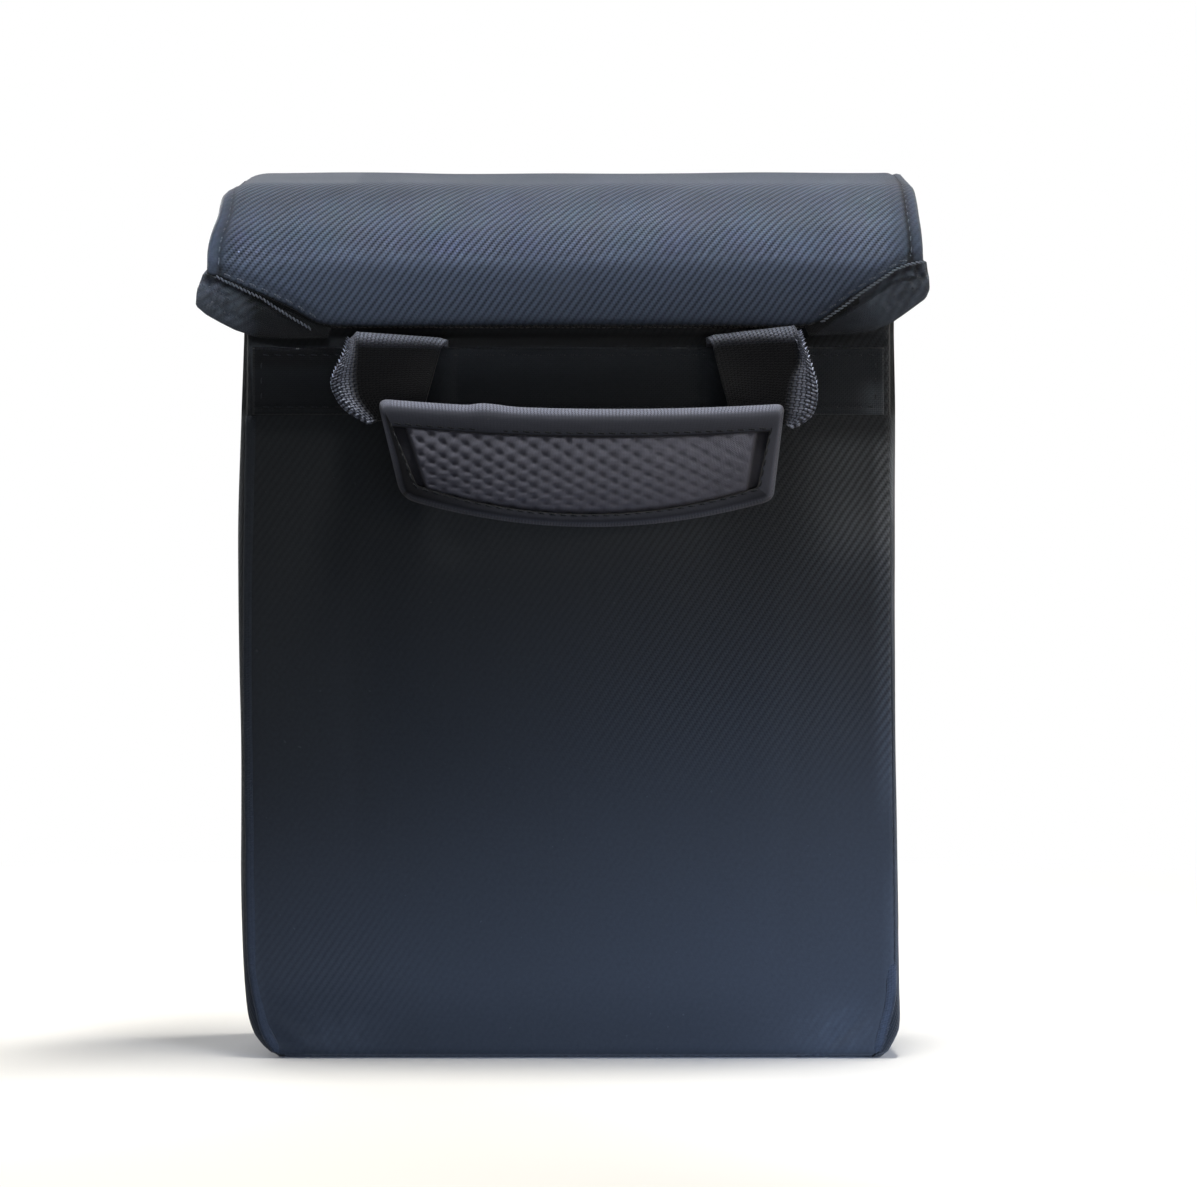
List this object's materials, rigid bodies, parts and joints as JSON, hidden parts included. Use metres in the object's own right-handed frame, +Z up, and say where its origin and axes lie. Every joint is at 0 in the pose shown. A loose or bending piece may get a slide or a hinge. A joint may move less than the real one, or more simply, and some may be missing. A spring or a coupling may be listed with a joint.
{
  "type": "battery safe bag",
  "caption": "Tall gusseted fabric bag with a heat-resistant lining, fold-over hook-and-loop flap and padded front handle, for storing model batteries.",
  "frame": {"origin": "centre of the flat base, on the surface that the bag stands on", "axes": "+Z up, +X to the right of someone facing the front, +Y towards the back; the handle and the flap's free edge are on the -Y side"},
  "size_m": [0.2, 0.0842, 0.2491],
  "materials": {
    "twill": "dark slate-navy polyester twill",
    "plain_cloth": "dark plain-weave polyester",
    "facing_cloth": "dark plain-weave facing",
    "webbing": "dark ribbed webbing",
    "binding_tape": "dark woven binding tape",
    "spacer_mesh": "dark dimpled air mesh",
    "coated_lining": "silver-grey coated glass-fibre cloth",
    "loop_strip": "black loop pile",
    "hook_strip": "black woven hook tape",
    "foam": "soft closed-cell foam",
    "stiffener": "plain plastic sheet",
    "thread": "dark bonded thread"
  },
  "bodies": {
    "bag": {"back_left_seam": "twill", "back_lining": "coated_lining", "back_mouth_tape": "binding_tape", "back_panel": "twill", "back_right_seam": "twill", "band_stitches": "thread", "base_board": "stiffener", "base_lining": "coated_lining", "base_panel": "twill", "flap_lap": "twill", "flap_lap_facing": "coated_lining", "front_left_seam": "twill", "front_lining": "coated_lining", "front_mouth_tape": "binding_tape", "front_panel": "twill", "front_right_seam": "twill", "handle_band": "plain_cloth", "left_gusset": "twill", "left_lining": "coated_lining", "left_mouth_tape": "binding_tape", "left_strap_tail": "webbing", "loop_strip": "loop_strip", "right_gusset": "twill", "right_lining": "coated_lining", "right_mouth_tape": "binding_tape", "right_strap_tail": "webbing"},
    "flap_top": {"flap_top_cloth": "twill", "flap_top_left_hem": "twill", "flap_top_lining": "coated_lining", "flap_top_right_hem": "twill"},
    "flap_front": {"flap_front_cloth": "twill", "flap_front_left_hem": "twill", "flap_front_lining": "coated_lining", "flap_front_right_hem": "twill", "flap_left_corner": "facing_cloth", "flap_right_corner": "facing_cloth", "hook_strip": "hook_strip"},
    "handle": {"grip_back_cover": "plain_cloth", "grip_bottom_binding": "binding_tape", "grip_foam": "foam", "grip_left_binding": "binding_tape", "grip_mesh": "spacer_mesh", "grip_right_binding": "binding_tape", "grip_top_binding": "binding_tape", "left_handle_strap": "webbing", "right_handle_strap": "webbing", "strap_stitches": "thread"}
  },
  "joints": [
    {"name": "flap_lift", "type": "hinge", "parent": "bag", "child": "flap_top", "pos_m": [0, 0.0359, 0.22849], "axis": [-1, 0, 0], "range_deg": [0, 180]},
    {"name": "flap_front_lift", "type": "hinge", "parent": "flap_top", "child": "flap_front", "pos_m": [0, -0.03043, 0.23077], "axis": [-1, 0, 0], "range_deg": [0, 90]},
    {"name": "handle_lift", "type": "hinge", "parent": "bag", "child": "handle", "pos_m": [0, -0.03515, 0.19865], "axis": [-1, 0, 0], "range_deg": [0, 90]}
  ]
}
